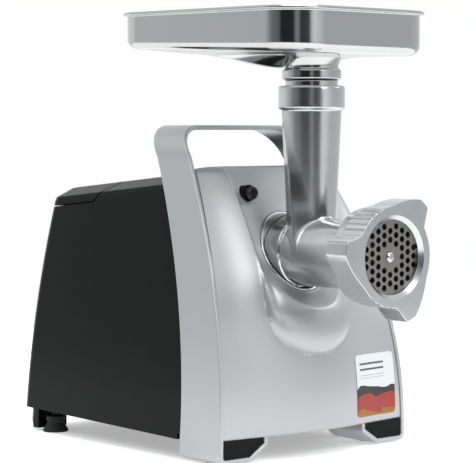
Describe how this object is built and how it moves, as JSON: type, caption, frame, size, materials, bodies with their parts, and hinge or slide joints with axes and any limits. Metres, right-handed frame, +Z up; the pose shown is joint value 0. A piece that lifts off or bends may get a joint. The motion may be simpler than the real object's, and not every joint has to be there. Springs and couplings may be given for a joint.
{
  "type": "electric meat grinder",
  "caption": "Countertop electric meat grinder: silver carry frame and fascia, black housing with a lidded accessory well, geared motor, cast mincing head with screw ring, disc and steel tray.",
  "frame": {"origin": "middle of the bounding box on the floor", "axes": "+X to the machine's left seen from behind, -Y the side that the mincing head faces, +Z up"},
  "size_m": [0.1968, 0.3454, 0.345],
  "materials": {
    "silver_paint": "satin silver paint over moulded plastic",
    "black_plastic": "fine-textured moulded ABS",
    "grey_plastic": "moulded ABS",
    "cast_aluminium": "die cast and polished",
    "polished_steel": "pressed stainless steel, polished",
    "tool_steel": "ground steel",
    "rubber": "matt rubber",
    "nylon": "moulded nylon",
    "copper": "enamelled copper winding",
    "laminated_steel": "stamped laminations",
    "circuit": "glass-epoxy board",
    "label_paper": null
  },
  "bodies": {
    "base_unit": {"socket_ring": "cast_aluminium", "front_fascia": "silver_paint", "carry_frame": "silver_paint", "foot_insert_left": "black_plastic", "front_pad_left": "rubber", "rear_foot_left": "rubber", "foot_insert_right": "black_plastic", "front_pad_right": "rubber", "rear_foot_right": "rubber", "rear_housing": "black_plastic", "storage_well": "grey_plastic", "base_plate": "black_plastic", "cord_cleat_front": "black_plastic", "cord_cleat_rear": "black_plastic", "cord_gland": "rubber", "label_plate": "label_paper", "button_bezel": "black_plastic", "switch_bezel": "grey_plastic", "circuit_board": "circuit", "power_switch": "grey_plastic", "reverse_switch": "grey_plastic", "capacitor": "grey_plastic", "second_shaft": "tool_steel", "first_shaft": "tool_steel", "gearbox_front_cover": "cast_aluminium", "gearbox_rear_cover": "cast_aluminium", "output_bearing": "tool_steel", "motor_front_bearing": "tool_steel", "stator": "laminated_steel", "field_coil_front": "copper", "field_coil_rear": "copper", "brush_left": "grey_plastic", "motor_bolt_left": "tool_steel", "brush_right": "grey_plastic", "motor_bolt_right": "tool_steel", "motor_rear_bracket": "cast_aluminium", "motor_rear_bearing": "tool_steel"},
    "accessory_lid": {"accessory_lid": "black_plastic"},
    "release_button": {"release_button": "black_plastic", "latch_arm": "tool_steel", "release_spring": "tool_steel"},
    "power_button": {"power_button": "grey_plastic"},
    "reverse_button": {"reverse_button": "grey_plastic"},
    "mincer_head": {"mincer_head": "cast_aluminium"},
    "feed_tray": {"feed_tray": "polished_steel"},
    "perforated_disc": {"perforated_disc": "tool_steel"},
    "screw_ring": {"screw_ring": "cast_aluminium"},
    "auger_drive": {"auger": "cast_aluminium", "cross_blade": "tool_steel", "auger_coupling": "nylon", "auger_washer": "nylon", "coupling_screw": "tool_steel", "output_shaft": "tool_steel", "output_gear": "nylon"},
    "second_gear": {"second_gear": "tool_steel"},
    "first_gear": {"first_gear": "nylon"},
    "armature": {"armature": "laminated_steel", "commutator": "copper", "motor_pinion": "tool_steel", "motor_fan": "grey_plastic"}
  },
  "joints": [
    {"name": "lid_hinge", "type": "hinge", "parent": "base_unit", "child": "accessory_lid", "pos_m": [0, 0.08374, 0.20857], "axis": [1, 0, 0], "range_deg": [0, 95]},
    {"name": "release_press", "type": "slide", "parent": "base_unit", "child": "release_button", "axis": [0, 1, 0], "range_m": [0, 0.0025], "stiffness_N_per_m": 600},
    {"name": "power_press", "type": "slide", "parent": "base_unit", "child": "power_button", "axis": [-1, 0, 0], "range_m": [0, 0.002], "stiffness_N_per_m": 800},
    {"name": "reverse_press", "type": "slide", "parent": "base_unit", "child": "reverse_button", "axis": [-1, 0, 0], "range_m": [0, 0.002], "stiffness_N_per_m": 800},
    {"name": "head_turn", "type": "hinge", "parent": "base_unit", "child": "mincer_head", "pos_m": [0, -0.08846, 0.1567], "axis": [0, -1, 0], "range_deg": [0, 35]},
    {"name": "tray_lift", "type": "slide", "parent": "mincer_head", "child": "feed_tray", "axis": [0, 0, 1], "range_m": [0, 0.06]},
    {"name": "disc_slide", "type": "slide", "parent": "mincer_head", "child": "perforated_disc", "axis": [0, -1, 0], "range_m": [0, 0.012]},
    {"name": "ring_turn", "type": "hinge", "parent": "perforated_disc", "child": "screw_ring", "pos_m": [0, -0.15746, 0.1567], "axis": [0, -1, 0], "range_deg": [0, 1080]},
    {"name": "auger_spin", "type": "hinge", "parent": "base_unit", "child": "auger_drive", "pos_m": [0, -0.08846, 0.1567], "axis": [0, 1, 0], "continuous": true},
    {"name": "second_gear_spin", "type": "hinge", "parent": "base_unit", "child": "second_gear", "pos_m": [-0.04003, 0.01154, 0.11898], "axis": [0, 1, 0], "continuous": true},
    {"name": "first_gear_spin", "type": "hinge", "parent": "base_unit", "child": "first_gear", "pos_m": [-0.03252, 0.02154, 0.07461], "axis": [0, 1, 0], "continuous": true},
    {"name": "armature_spin", "type": "hinge", "parent": "base_unit", "child": "armature", "pos_m": [-0.00006, 0.07154, 0.08472], "axis": [0, 1, 0], "continuous": true}
  ],
  "couplings": [
    {"joint": "disc_slide", "follows": "ring_turn", "m_per_rad": 0.00063662},
    {"joint": "second_gear_spin", "follows": "auger_spin", "ratio": -4},
    {"joint": "first_gear_spin", "follows": "auger_spin", "ratio": 16},
    {"joint": "armature_spin", "follows": "auger_spin", "ratio": -92.8}
  ]
}
